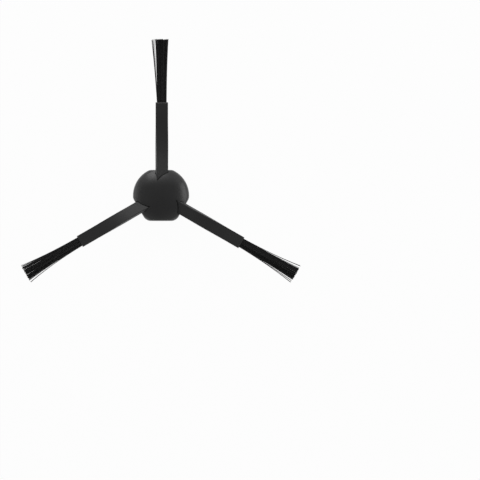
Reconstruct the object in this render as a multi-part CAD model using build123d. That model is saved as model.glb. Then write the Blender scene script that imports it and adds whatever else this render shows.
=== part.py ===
# Side brush of a robot vacuum cleaner: a domed hub that snaps on a hexagonal drive shaft from below, three
# flexible arms that twist from a pitched root to a flat end, and a tuft of bristles in the end of each arm.
# Millimetres. Z is the spin axis, up through the dome, and z = 0 is the flat rim that faces the machine.
# The first arm points along +Y.
from build123d import *
import math
import os
import random

# Hub
hub_radius = 14.55
skirt_height = 4.5           # straight wall between the rim and the dome
dome_rise = 7.0
shoulder_radius = 3.4        # of the bend from the skirt to the crown
hub_wall = 1.8
arm_flat_depth = 1.25        # of the flat cut on the skirt where an arm leaves
plain_flat_depth = 1.45      # of the flat opposite the first arm
flat_bevel = 0.5             # along the flats' upper edges
rim_bevel = 0.3

# Drive socket in the middle of the hub's underside
socket_across_flats = 8.0
socket_depth = 8.0
socket_lead_in = 0.5
boss_wall = 1.4
leg_width = 3.2              # snap legs on three of the socket's six sides
leg_length = 6.0
leg_slit = 0.7
barb_height = 0.5
barb_start = 1.2             # rim to the barb's lower edge
barb_length = 1.6

# Arms
arm_count = 3
arm_width = 6.4
arm_thickness = 2.2
arm_edge_bevel = 0.2
arm_end_bevel = 0.4          # along the upper and lower edge
arm_length = 35.0            # from the hub's flat to the arm's end
arm_root_length = 6.8        # inside the hub
arm_exit_height = 7.75       # of the arm's middle line at the hub's flat
arm_side_offset = 0.4        # the middle line passes the spin axis at this distance
arm_slope = 7.0              # degrees, upwards from the hub
arm_pitch = 26.0             # degrees, at the root, with the anticlockwise edge raised
twist_start = 1.5            # from the hub's flat
twist_end = 27.0
twist_sections = 7
arm_seat_wall = 1.2          # hub material beside and under an arm's root
arm_seat_clearance = 0.06
arm_grip_length = 3.6        # inner stretch of the root, which the seat holds closely
arm_mouth_gap = 0.2          # round the outer stretch, where the arm bends
notch_lip = 0.6              # least thickness of the dome's skin over an arm's root
peg_width = 1.8              # of the square peg that an arm's root is moulded round
peg_inset = 5.0              # from the hub's flat
peg_bite = 0.3               # length of the peg that is sunk in the hub at each end

# Bristle tufts
tuft_side_wall = 0.7         # arm material beside the tuft
tuft_face_wall = 0.55        # arm material over and under the tuft
tuft_depth = 8.0             # length of the fused root in the arm
tuft_clearance = 0.03
mouth_depth = 0.3            # from the arm's end to the fused root
bristle_length = 33.0        # from the arm's end to the tips
bristle_diameter = 0.24
bristle_pitch = 0.32
tip_spread_across = 0.9      # the outermost tips move this far outwards
tip_spread_over = 0.4
tip_length_scatter = 0.5
tip_side_scatter = 0.05
stray_spread = 1.4           # further outwards, for the stray bristles at a tuft's edges

# Worked out from the sizes above
arm_angles = [90 + 360 * i / arm_count for i in range(arm_count)]
between_angles = [a + 180 / arm_count for a in arm_angles]
hub_height = skirt_height + dome_rise
arm_flat_distance = hub_radius - arm_flat_depth
plain_flat_distance = hub_radius - plain_flat_depth
shoulder_centre = hub_radius - shoulder_radius
crown_rise = dome_rise - shoulder_radius
crown_radius = (shoulder_centre**2 + dome_rise**2 - shoulder_radius**2) / (2 * crown_rise)
crown_centre = hub_height - crown_radius
crown_angle = math.degrees(math.asin(shoulder_centre / (crown_radius - shoulder_radius)))
past = hub_radius            # how far a cutting body reaches past what it cuts
pitch_cos = math.cos(math.radians(arm_pitch))
pitch_sin = math.sin(math.radians(arm_pitch))
slope_sin = math.sin(math.radians(arm_slope))
tuft_width = arm_width - 2 * tuft_side_wall
tuft_thickness = arm_thickness - 2 * tuft_face_wall
arm_frame = Pos(arm_flat_distance, -arm_side_offset, arm_exit_height) * Rot(0, -arm_slope, 0)
root_frame = arm_frame * Rot(arm_pitch, 0, 0)
above = (Align.CENTER, Align.CENTER, Align.MIN)
outward = (Align.MIN, Align.CENTER, Align.CENTER)


def crown_arc(inset):
    """Profile of the crown, from the shoulder to the spin axis, this far inside the outer face."""
    return CenterArc((0, crown_centre), crown_radius - inset, 90 - crown_angle, crown_angle)


def dome():
    """The hub's outer form: a straight skirt, a round shoulder and a flatter crown."""
    crown = crown_arc(0)
    wall = Polyline(crown @ 1, (0, 0), (hub_radius, 0), (hub_radius, skirt_height))
    handle = 4 / 3 * math.tan(math.radians(90 - crown_angle) / 4) * shoulder_radius
    shoulder = Bezier(wall @ 1, wall @ 1 + wall % 1 * handle, crown @ 0 - crown % 0 * handle, crown @ 0)
    return revolve(Plane.XZ * make_face(wall + shoulder + crown), Axis.Z)


def dome_hollow():
    """The room under the dome, one wall inside it, with a straight slope behind the shoulder."""
    crown = crown_arc(hub_wall)
    radius = hub_radius - hub_wall
    wall = Polyline(crown @ 1, (0, -past), (radius, -past), (radius, skirt_height), crown @ 0)
    return revolve(Plane.XZ * make_face(wall + crown), Axis.Z)


def dome_height(distance):
    """Height of the dome's outer face at a distance from the spin axis."""
    if distance < crown_radius * math.sin(math.radians(crown_angle)):
        return crown_centre + math.sqrt(crown_radius**2 - distance**2)
    return skirt_height + math.sqrt(shoulder_radius**2 - (distance - shoulder_centre) ** 2)


def beyond(angle, distance):
    """Everything past an upright plane at this distance from the spin axis."""
    return Rot(0, 0, angle) * Pos(distance, 0, 0) * Box(past, 4 * past, 4 * past, align=outward)


def flat_edges(body, angle):
    """Edges of the hub's upright flat that faces this way, all but the one along the rim."""
    facing = Vector(math.cos(math.radians(angle)), math.sin(math.radians(angle)), 0)
    flat = max(body.faces().filter_by(GeomType.PLANE), key=lambda face: face.normal_at().dot(facing))
    return [edge for edge in flat.edges() if edge.center().Z > rim_bevel]


def arm_section(along, pitch, grow=0.0):
    """Cross-section of an arm at a distance from the hub's flat."""
    blank = Rectangle(arm_width + 2 * grow, arm_thickness + 2 * grow)
    outline = chamfer(blank.vertices(), arm_edge_bevel)
    return Pos(along, 0, 0) * Rot(pitch, 0, 0) * (Plane.YZ * outline)


def twist_pitch(share):
    """Pitch of an arm at this share of its twisted stretch, with a soft start and end."""
    return arm_pitch * (1 - share * share * (3 - 2 * share))


def anchor_peg(width, length):
    return Pos(-peg_inset, 0, 0) * Rot(arm_pitch, 0, 0) * Box(width, width, length)


def skin_over_arm(outwards, across):
    """Height of the dome over the upper face of an arm's root, at a place seen from above."""
    top = Plane(root_frame).offset(arm_thickness / 2)
    step = Vector(outwards, across, 0) - Vector(top.origin.X, top.origin.Y, 0)
    face_height = top.origin.Z - step.dot(top.z_dir) / top.z_dir.Z
    return dome_height(math.hypot(outwards, across)) - face_height


def notch_reach(across):
    """Distance from the spin axis at which the skin over an arm gets down to the lip's thickness."""
    near, far = 0.0, arm_flat_distance
    for _ in range(40):
        middle = (near + far) / 2
        if skin_over_arm(middle, across) > notch_lip:
            near = middle
        else:
            far = middle
    return near


def arm_notch():
    """The opening in the dome over an arm's root, with upright walls down to the arm."""
    middle_line = -arm_side_offset - arm_thickness / 2 * pitch_sin
    half = arm_width / 2 * pitch_cos
    places = [middle_line + half, middle_line, middle_line - half]
    corners = [(notch_reach(place), place) for place in places]
    outside = [(hub_radius + past, places[2]), (hub_radius + past, places[0])]
    outline = ThreePointArc(*corners) + Polyline(corners[2], *outside, corners[0])
    well = extrude(make_face(outline), amount=hub_height + past)
    return well & (root_frame * Box(4 * past, 4 * past, 4 * past, align=above))


def arm_seat():
    """Solid block inside the hub that holds an arm's root, open to the arm's pocket only."""
    half_width = arm_width / 2 * pitch_cos + arm_thickness / 2 * pitch_sin + arm_seat_wall
    half_height = arm_width / 2 * pitch_sin + arm_thickness / 2 * pitch_cos + arm_seat_wall
    floor = arm_exit_height - arm_root_length * slope_sin - half_height
    block = Box(hub_radius, 2 * half_width, hub_height, align=(Align.MIN, Align.CENTER, Align.MIN))
    return Pos(0, -arm_side_offset, floor) * block


def arm_pocket():
    """Room for an arm's root: close round its inner stretch, wider from there to the hub's flat."""
    grip = arm_section(-arm_root_length - arm_seat_clearance, arm_pitch, arm_seat_clearance)
    mouth = arm_section(arm_grip_length - arm_root_length, arm_pitch, arm_mouth_gap)
    pocket = extrude(grip, amount=arm_root_length) + extrude(mouth, amount=arm_root_length + past)
    return arm_frame * pocket


def snap_leg_slits():
    """Two slits that free one side of the socket as a snap leg."""
    place = leg_width / 2 + leg_slit / 2
    reach = socket_across_flats / 2 + boss_wall + leg_slit
    slit = Box(reach, leg_slit, leg_length + past, align=(Align.MIN, Align.CENTER, Align.MIN))
    return [Pos(0, side * place, -past) * slit for side in (-1, 1)]


def snap_barb():
    """Ridge on the inside of a snap leg, sloped both ways so that the shaft clicks in and out."""
    wall = socket_across_flats / 2
    foot = wall + boss_wall / 2
    crest = wall - barb_height
    outline = Polyline(
        (foot, barb_start),
        (wall, barb_start),
        (crest, barb_start + barb_height),
        (crest, barb_start + barb_length - barb_height),
        (wall, barb_start + barb_length),
        (foot, barb_start + barb_length),
        close=True,
    )
    return extrude(Plane.XZ * make_face(outline), amount=leg_width / 2, both=True)


def hexagon(across_flats):
    return RegularPolygon(across_flats / 2, 6, major_radius=False)


def make_hub():
    flats = [(angle, arm_flat_distance) for angle in arm_angles]
    flats.append((arm_angles[0] + 180, plain_flat_distance))
    shell = dome()
    hollow = dome_hollow()
    for angle, distance in flats:
        shell -= beyond(angle, distance)
        hollow -= beyond(angle, distance - hub_wall)
    shell = chamfer([edge for angle, _ in flats for edge in flat_edges(shell, angle)], flat_bevel)
    shell = chamfer(shell.faces().sort_by(Axis.Z)[0].edges(), rim_bevel)

    boss = hexagon(socket_across_flats + 2 * boss_wall)
    hollow -= Pos(0, 0, -2 * past) * extrude(boss, amount=4 * past)
    seat = arm_seat()
    for angle in arm_angles:
        hollow -= Rot(0, 0, angle) * seat
    hub = shell - hollow

    socket = hexagon(socket_across_flats)
    hub -= Pos(0, 0, -past) * extrude(socket, amount=past + socket_depth)
    hub -= extrude(hexagon(socket_across_flats + 2 * socket_lead_in), amount=socket_lead_in, taper=45)
    for angle in between_angles:
        for slit in snap_leg_slits():
            hub -= Rot(0, 0, angle) * (slit & Box(4 * past, 4 * past, 2 * leg_length))
        hub += Rot(0, 0, angle) * snap_barb()

    pocket = arm_pocket()
    notch = arm_notch()
    peg = arm_frame * anchor_peg(peg_width, arm_thickness + 2 * arm_seat_clearance + 2 * peg_bite)
    for angle in arm_angles:
        hub -= Rot(0, 0, angle) * pocket
        hub -= Rot(0, 0, angle) * notch
        hub += Rot(0, 0, angle) * peg
    return hub


def make_arm():
    """One arm in its own frame: x along the arm from the hub's flat, z up."""
    root = extrude(arm_section(-arm_root_length, arm_pitch), amount=arm_root_length + twist_start)
    shares = [i / (twist_sections - 1) for i in range(twist_sections)]
    stretch = twist_end - twist_start
    blade = loft([arm_section(twist_start + stretch * s, twist_pitch(s)) for s in shares])
    end = extrude(arm_section(twist_end, 0), amount=arm_length - twist_end)
    end = chamfer(end.faces().sort_by(Axis.X)[-1].edges().filter_by(Axis.Y), arm_end_bevel)
    arm = root + blade + end
    mouth = Rectangle(tuft_width + 2 * tuft_clearance, tuft_thickness + 2 * tuft_clearance)
    depth = tuft_depth + mouth_depth
    arm -= Pos(arm_length - depth, 0, 0) * extrude(Plane.YZ * mouth, amount=depth + past)
    arm -= anchor_peg(peg_width + 2 * arm_seat_clearance, 2 * arm_thickness)
    return arm


def bristle(start, tip):
    """One slender five-sided bristle between two points."""
    line = tip - start
    plane = Plane(origin=start, x_dir=(0, 0, 1), z_dir=line)
    return extrude(plane * RegularPolygon(bristle_diameter / 2, 5), amount=line.length)


def make_tuft():
    """One tuft in its arm's frame: a fused root with rows of bristles that spread towards their tips."""
    face = arm_length - mouth_depth
    root = Pos(face - tuft_depth, 0, 0) * extrude(
        Plane.YZ * Rectangle(tuft_width, tuft_thickness), amount=tuft_depth
    )
    columns = int(tuft_width / bristle_pitch)
    rows = int(tuft_thickness / bristle_pitch)
    scatter = random.Random(7)
    bristles = []
    for row in range(rows):
        over = (2 * row + 1 - rows) / rows
        count = columns - row % 2        # every second row stands in the gaps of its neighbours
        for column in range(count):
            across = (2 * column + 1 - count) / columns
            start = Vector(face - bristle_diameter, across * tuft_width / 2, over * tuft_thickness / 2)
            spread = tip_spread_across * across + scatter.uniform(-1, 1) * tip_side_scatter
            if row == 1 and column in (0, count - 1):
                spread += math.copysign(stray_spread, across)
            lift = tip_spread_over * over + scatter.uniform(-1, 1) * tip_side_scatter
            reach = arm_length + bristle_length - scatter.uniform(0, 1) * tip_length_scatter
            tip = Vector(reach, start.Y + spread, start.Z + lift)
            bristles.append(bristle(start, tip))
    return root + bristles


os.makedirs("parts", exist_ok=True)
export_step(make_hub(), "parts/hub.step")
arm_shape = make_arm()
tuft_shape = make_tuft()
for number, angle in enumerate(arm_angles, start=1):
    place = Rot(0, 0, angle) * arm_frame
    export_step(place * arm_shape, f"parts/arm_{number}.step")
    export_step(place * tuft_shape, f"parts/tuft_{number}.step")
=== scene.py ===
import math
import random

import bpy
from mathutils import Matrix, Vector


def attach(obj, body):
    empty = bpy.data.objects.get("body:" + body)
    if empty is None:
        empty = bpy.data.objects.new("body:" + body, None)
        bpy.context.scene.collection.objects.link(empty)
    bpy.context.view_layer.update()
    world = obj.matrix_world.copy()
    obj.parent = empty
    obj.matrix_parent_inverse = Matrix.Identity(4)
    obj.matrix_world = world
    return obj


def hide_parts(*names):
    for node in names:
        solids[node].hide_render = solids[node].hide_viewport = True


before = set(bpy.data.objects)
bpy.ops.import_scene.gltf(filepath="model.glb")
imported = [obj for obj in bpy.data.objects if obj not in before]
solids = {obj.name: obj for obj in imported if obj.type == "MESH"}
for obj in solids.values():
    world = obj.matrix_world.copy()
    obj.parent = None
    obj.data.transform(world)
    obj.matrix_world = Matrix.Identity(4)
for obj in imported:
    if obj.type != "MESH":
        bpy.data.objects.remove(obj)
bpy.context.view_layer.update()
mm = 0.001
armNumbers = (1, 2, 3)
plainWhite = (1, 1, 1, 1)
print("loaded", len(solids), "solids")


class Wire:
    # one output socket of a node tree: sums written with it add Math nodes

    def __init__(self, tree, socket=None):
        self.tree = tree
        self.socket = socket

    def make(self, kind, settings=None, sockets=None, output=0):
        node = self.tree.nodes.new(kind)
        for name, value in (settings or {}).items():
            setattr(node, name, value)
        for name, value in (sockets or {}).items():
            if isinstance(value, Wire):
                self.tree.links.new(value.socket, node.inputs[name])
            else:
                node.inputs[name].default_value = value
        return Wire(self.tree, node.outputs[output] if node.outputs else None)

    def maths(self, operation, first, second):
        return self.make("ShaderNodeMath", {"operation": operation}, {0: first, 1: second})

    def __add__(self, other):
        return self.maths("ADD", self, other)

    def __sub__(self, other):
        return self.maths("SUBTRACT", self, other)

    def __rsub__(self, other):
        return self.maths("SUBTRACT", other, self)

    def __mul__(self, other):
        return self.maths("MULTIPLY", self, other)

    __radd__ = __add__
    __rmul__ = __mul__


def newMaterial(name):
    material = bpy.data.materials.new(name)
    material.use_nodes = True
    material.node_tree.nodes.clear()
    return material, Wire(material.node_tree)


def noise(wire, size, detail):
    place = wire.make("ShaderNodeTexCoord", output="Object")
    return wire.make("ShaderNodeTexNoise", {}, {"Vector": place, "Scale": 1 / size, "Detail": detail}, "Fac")


def drift(share, middle, reach):
    # from half the reach below the middle to half above it, as the share goes from 0 to 1
    return middle + (share - 0.5) * reach


def blendColours(wire, share, first, second):
    # a Mix node takes its colours at sockets 6 and 7 and gives one at output 2
    return wire.make("ShaderNodeMix", {"data_type": "RGBA"}, {0: share, 6: first, 7: second}, 2)


def finishSurface(wire, sockets):
    surface = wire.make("ShaderNodeBsdfPrincipled", {}, sockets)
    wire.make("ShaderNodeOutputMaterial", {}, {"Surface": surface})


# Hub: satin black moulding with a fine spark-eroded grain
hubLook = {
    "colour": (0.018, 0.018, 0.0184, 1),
    "paleColour": (0.025, 0.025, 0.0255, 1),
    "roughness": 0.30,
    "dulling": 0.10,           # how far the roughness drifts over the skin
    "cloudSize": 8 * mm,
    "grainSize": 0.30 * mm,
    "grainDepth": 0.008 * mm,
    "sheen": 0.0,
}

# Arms: matt black thermoplastic rubber
rubberLook = {
    "colour": (0.013, 0.013, 0.0133, 1),
    "paleColour": (0.019, 0.019, 0.0194, 1),
    "roughness": 0.50,
    "dulling": 0.10,
    "cloudSize": 6 * mm,
    "grainSize": 0.18 * mm,
    "grainDepth": 0.006 * mm,
    "sheen": 0.4,              # pales what is seen edge on, as rubber does
}

# What the skins of the hub and the arms have in common
skinLook = {
    "cloudDetail": 3.0,
    "grainDetail": 2.0,
    "sheenRoughness": 0.35,
}


def makeMoulded(name, look):
    material, wire = newMaterial(name)
    cloud = noise(wire, look["cloudSize"], skinLook["cloudDetail"])
    grain = noise(wire, look["grainSize"], skinLook["grainDetail"])
    finishSurface(wire, {
        "Base Color": blendColours(wire, cloud, look["colour"], look["paleColour"]),
        "Roughness": drift(cloud, look["roughness"], look["dulling"]),
        "Sheen Weight": look["sheen"],
        "Sheen Roughness": skinLook["sheenRoughness"],
        "Normal": wire.make("ShaderNodeBump", {}, {"Height": grain, "Distance": look["grainDepth"]}),
    })
    return material


# Bristles: smooth black nylon, a little different from filament to filament
nylonLook = {
    "colour": (0.001, 0.001, 0.001, 1),
    "paleColour": (0.024, 0.024, 0.0243, 1),
    "roughness": 0.34,
    "dulling": 0.16,
    "specular": 0.25,          # low, because the filaments of a tuft shade each other
}


def makeBristleNylon(look):
    material, wire = newMaterial("glossyBlackNylon")
    tone = wire.make("ShaderNodeAttribute", {"attribute_name": "strandTone"}, {}, "Fac")
    finishSurface(wire, {
        "Base Color": blendColours(wire, tone, look["colour"], look["paleColour"]),
        "Roughness": drift(tone, look["roughness"], look["dulling"]),
        "Specular IOR Level": look["specular"],
    })
    return material


def paint(piece, material):
    piece.data.materials.clear()
    piece.data.materials.append(material)


paint(solids["hub"], makeMoulded("satinBlackPlastic", hubLook))
armRubber = makeMoulded("mattBlackRubber", rubberLook)
for number in armNumbers:
    paint(solids[f"arm_{number}"], armRubber)
print("hub and arms painted")

# Where the arms lie in the solids, and the pocket in an arm's end
armPlace = {
    "angles": (90, 210, 330),
    "flatDistance": 13.3 * mm,    # spin axis to the hub's flat
    "sideOffset": 0.4 * mm,
    "exitHeight": 7.75 * mm,
    "slope": 7.0,                 # degrees, upwards from the hub
    "length": 35.0 * mm,
    "pocketDepth": 8.0 * mm,
    "mouthDepth": 0.3 * mm,       # from the arm's end to the fused root
}


def armMatrix(angle):
    turn = Matrix.Rotation(math.radians(angle), 4, "Z")
    shift = Matrix.Translation((armPlace["flatDistance"], -armPlace["sideOffset"], armPlace["exitHeight"]))
    return turn @ shift @ Matrix.Rotation(math.radians(-armPlace["slope"]), 4, "Y")


# Tufts: rows of thin filaments, straight in the arm and bent outwards near their cut tips
tuftLook = {
    "width": 5.0 * mm,
    "thickness": 1.1 * mm,
    "rootBevel": 0.12 * mm,
    "rootBevelSegments": 2,
    "columns": 21,
    "rows": 5,
    "sides": 5,
    "diameter": 0.22 * mm,
    "length": 33.2 * mm,
    "segments": 7,
    "smoothAngle": 75,            # degrees between faces that are shaded as one
    "bends": (0.0, 0.35, 0.7, 1.2, 1.8, 2.4),    # mm that the tip of each kind stands off its line
    "bendPower": 2.3,
    "bendShare": 1.0,             # of a filament's way outwards, and the rest is lean
    "flareOver": 0.45 * mm,
    "locks": 7,                   # neighbours that cling together
    "lockSway": 0.07 * mm,
    "lockTone": 0.85,             # share of a filament's tone that it has from its lock
    "scatter": 0.06 * mm,
    "strand": (-0.09, 0.09),      # mm from the middle of a loose strand to its filaments
    "raggedness": 0.018,
    "seed": 11,
}

# Where the tips of each tuft stand across its arm in mm, anticlockwise side positive: the tuft's own two
# edges, loose strands and single filaments, with the share of the last two's way that is bend
tuftTips = {
    1: {"edges": (-3.2, 3.2), "strands": (4.75,), "singles": (3.85, 4.3, 5.15), "bendShare": 0.2},
    2: {"edges": (-3.2, 4.0), "strands": (5.35,), "singles": (-3.6, -3.9, -4.1, -4.35), "bendShare": 0.8},
    3: {"edges": (-3.2, 3.35), "strands": (4.85, -4.0, -4.85), "singles": (3.7,), "bendShare": 0.8},
}


def makeFilament(bend):
    bpy.ops.object.select_all(action="DESELECT")
    bpy.ops.mesh.primitive_circle_add(
        vertices=tuftLook["sides"], radius=tuftLook["diameter"] / 2, fill_type="NGON")
    filament = bpy.context.object
    bpy.ops.object.mode_set(mode="EDIT")
    bpy.ops.mesh.select_all(action="SELECT")
    segments = tuftLook["segments"]
    curve = [bend * (step / segments) ** tuftLook["bendPower"] for step in range(segments + 1)]
    for step in range(segments):
        move = (curve[step + 1] - curve[step], 0, tuftLook["length"] / segments)
        bpy.ops.mesh.extrude_region_move(TRANSFORM_OT_translate={"value": move})
    bpy.ops.mesh.select_all(action="SELECT")
    bpy.ops.mesh.normals_make_consistent(inside=False)
    bpy.ops.object.mode_set(mode="OBJECT")
    bpy.ops.object.shade_smooth_by_angle(angle=math.radians(tuftLook["smoothAngle"]))
    return filament


def makeRootBlock():
    bpy.ops.object.select_all(action="DESELECT")
    bpy.ops.mesh.primitive_cube_add(size=1)
    block = bpy.context.object
    block.scale = (armPlace["pocketDepth"], tuftLook["width"], tuftLook["thickness"])
    block.location.x = armPlace["length"] - armPlace["mouthDepth"] - armPlace["pocketDepth"] / 2
    bpy.ops.object.transform_apply(location=True, rotation=False, scale=True)
    bpy.ops.object.mode_set(mode="EDIT")
    bpy.ops.mesh.select_all(action="SELECT")
    bpy.ops.mesh.bevel(
        offset=tuftLook["rootBevel"], segments=tuftLook["rootBevelSegments"], affect="EDGES")
    bpy.ops.object.mode_set(mode="OBJECT")
    return block


def placeFilament(kinds, start, offset, bendShare, stretch, tone):
    # the kind that bends nearest to this share of the offset is rolled towards it, and the rest of it is lean
    bends = [bend * mm for bend in tuftLook["bends"]]
    wanted = offset.length * bendShare
    nearest = min(range(len(kinds)), key=lambda kind: abs(bends[kind] - wanted))
    lean = offset * (1 - bends[nearest] / offset.length)
    roll = math.atan2(offset.y, offset.x)
    place = Matrix.Identity(4)
    place.col[0] = (0, math.cos(roll), math.sin(roll), 0)
    place.col[1] = (0, -math.sin(roll), math.cos(roll), 0)
    place.col[2] = (stretch, lean.x / tuftLook["length"], lean.y / tuftLook["length"], 0)
    place.translation = start
    filament = kinds[nearest].copy()
    filament.data = kinds[nearest].data.copy()
    filament.data.transform(place)
    shade = filament.data.attributes.new("strandTone", "FLOAT", "POINT")
    shade.data.foreach_set("value", [tone] * len(filament.data.vertices))
    bpy.context.collection.objects.link(filament)
    return filament


def tuftFilaments(kinds, number, dice):
    rootFace = armPlace["length"] - armPlace["mouthDepth"] - tuftLook["diameter"]
    halfWidth = (tuftLook["width"] - tuftLook["diameter"]) / 2
    halfThickness = (tuftLook["thickness"] - tuftLook["diameter"]) / 2
    tips = tuftTips[number]
    firstTip, lastTip = tips["edges"]
    made = []

    def addFilament(across, over, tip, lift, sway, bendShare, tone):
        start = Vector((rootFace, across * halfWidth, over * halfThickness))
        offset = Vector((tip * mm - start.y, lift)) + sway
        stretch = 1 - tuftLook["raggedness"] * dice.random()
        made.append(placeFilament(kinds, start, offset, bendShare, stretch, tone))

    def anySway(reach):
        return Vector((dice.gauss(0, reach), dice.gauss(0, reach)))

    locks = [(anySway(tuftLook["lockSway"]), dice.random()) for lock in range(tuftLook["locks"])]
    for row in range(tuftLook["rows"]):
        over = 2 * row / (tuftLook["rows"] - 1) - 1
        count = tuftLook["columns"] - row % 2
        for column in range(count):
            across = (2 * column + 1 - count) / (tuftLook["columns"] - 1)
            lockSway, lockTone = locks[column * len(locks) // count]
            tip = firstTip + (lastTip - firstTip) * (across + 1) / 2
            ownTone = dice.random()
            tone = ownTone + (lockTone - ownTone) * tuftLook["lockTone"]
            sway = lockSway + anySway(tuftLook["scatter"])
            lift = over * tuftLook["flareOver"]
            addFilament(across, over, tip, lift, sway, tuftLook["bendShare"], tone)
    for tip in tips["singles"]:
        sway = anySway(tuftLook["scatter"])
        side, over = math.copysign(1, tip), dice.uniform(-1, 1)
        addFilament(side, over, tip, 0, sway, tips["bendShare"], dice.random())
    for tip in tips["strands"]:
        side, over = math.copysign(1, tip), dice.uniform(-1, 1)
        for apart in tuftLook["strand"]:
            addFilament(side, over, tip + apart, 0, Vector((0, 0)), tips["bendShare"], dice.random())
    return made


def makeTuft(kinds, number, material):
    dice = random.Random(tuftLook["seed"] + number)
    block = makeRootBlock()
    filaments = tuftFilaments(kinds, number, dice)
    bpy.ops.object.select_all(action="DESELECT")
    for filament in filaments:
        filament.select_set(True)
    block.select_set(True)
    bpy.context.view_layer.objects.active = block
    bpy.ops.object.join()
    block.data.transform(armMatrix(armPlace["angles"][number - 1]))
    block.name = f"bristles_{number}"
    paint(block, material)
    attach(block, "root")
    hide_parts(f"tuft_{number}")
    print("tuft", number, "has", len(filaments), "filaments")


filamentKinds = [makeFilament(bend * mm) for bend in tuftLook["bends"]]
bristleNylon = makeBristleNylon(nylonLook)
for number in armNumbers:
    makeTuft(filamentKinds, number, bristleNylon)
for filament in filamentKinds:
    bpy.data.objects.remove(filament)

# Floor: white paper that looks white to the camera and keeps a soft shadow
floorLook = {
    "size": 8.0,
    "colour": (0.86, 0.86, 0.86, 1),
    "glow": 0.965,            # share of plain white in what is seen of it
}


def makeFloorPaper(look):
    material, wire = newMaterial("whitePaper")
    lit = wire.make("ShaderNodeBsdfDiffuse", {}, {"Color": look["colour"]})
    white = wire.make("ShaderNodeEmission", {}, {"Color": plainWhite, "Strength": 1.0})
    seen = wire.make("ShaderNodeLightPath", {}, {}, "Is Camera Ray")
    mirrored = wire.make("ShaderNodeLightPath", {}, {}, "Is Glossy Ray")
    passed = wire.make("ShaderNodeLightPath", {}, {}, "Is Transmission Ray")
    share = (seen + mirrored + passed) * look["glow"]
    both = wire.make("ShaderNodeMixShader", {}, {0: share, 1: lit, 2: white})
    wire.make("ShaderNodeOutputMaterial", {}, {"Surface": both})
    return material


bpy.ops.object.select_all(action="DESELECT")
bpy.ops.mesh.primitive_plane_add(size=floorLook["size"])
floor = bpy.context.object
floor.name = "floor"
paint(floor, makeFloorPaper(floorLook))

# World: dim overhead, pale towards the horizon, white to the camera
roomLook = {
    "overhead": (0.28, 0.28, 0.28, 1),
    "horizon": (1.0, 1.0, 1.0, 1),
    "steepness": 2.0,         # the overhead tone is reached at the height of 1 over this
}


def makeRoom(look):
    world = bpy.data.worlds.new("studio")
    world.use_nodes = True
    world.node_tree.nodes.clear()
    wire = Wire(world.node_tree)
    place = wire.make("ShaderNodeTexCoord", output="Generated")
    height = wire.make("ShaderNodeSeparateXYZ", {}, {"Vector": place}, "Z")
    rise = wire.make("ShaderNodeClamp", {}, {"Value": height * look["steepness"]})
    colour = blendColours(wire, rise, look["horizon"], look["overhead"])
    seen = wire.make("ShaderNodeLightPath", {}, {}, "Is Camera Ray")
    shown = blendColours(wire, seen, colour, plainWhite)
    light = wire.make("ShaderNodeBackground", {}, {"Color": shown, "Strength": 1.0})
    wire.make("ShaderNodeOutputWorld", {}, {"Surface": light})
    bpy.context.scene.world = world


makeRoom(roomLook)

# Lamps: soft boxes, of which a small bright one and a wide faint one stand beyond the first arm
lampLook = {
    "backBox": {"place": (-0.18, 0.85, 0.42), "size": (0.65, 0.36), "watts": 2.2},
    "fillBox": {"place": (0.00, 0.95, 0.50), "size": (2.60, 0.80), "watts": 2.2},
    "rightBox": {"place": (0.85, 0.11, 0.36), "size": (0.70, 0.26), "watts": 1.35},
    "leftBox": {"place": (-0.90, 0.10, 0.20), "size": (0.60, 0.26), "watts": 0.6},
}


def aim(piece, place, target, upwards):
    forward = (Vector(target) - Vector(place)).normalized()
    right = forward.cross(Vector(upwards)).normalized()
    up = right.cross(forward)
    turned = Matrix((right, up, -forward)).transposed().to_4x4()
    turned.translation = place
    piece.matrix_world = turned


for name, lamp in lampLook.items():
    bpy.ops.object.light_add(type="AREA")
    box = bpy.context.object
    box.name = name
    box.data.shape = "RECTANGLE"
    box.data.size, box.data.size_y = lamp["size"]
    box.data.energy = lamp["watts"]
    aim(box, lamp["place"], target=(0, 0, 0), upwards=(0, 0, 1))
print("floor and lamps set")

# Camera: straight above the spin axis and turned a little, so that the hub stands left of the middle and
# above it
cameraLook = {
    "height": 1.5,
    "pixels": 480,
    "pixelSize": 0.52 * mm,    # on the object
    "frameCentre": (40.88 * mm, -23.0 * mm, 6 * mm),
    "sensor": 36.0,
}
bpy.ops.object.camera_add()
camera = bpy.context.object
frameWidth = cameraLook["pixels"] * cameraLook["pixelSize"]
camera.data.sensor_width = cameraLook["sensor"]
camera.data.lens = cameraLook["sensor"] * cameraLook["height"] / frameWidth
aim(camera, (0, 0, cameraLook["height"]), cameraLook["frameCentre"], upwards=(0, 1, 0))
bpy.context.scene.camera = camera
bpy.context.scene.view_settings.view_transform = "Standard"
print("camera set")
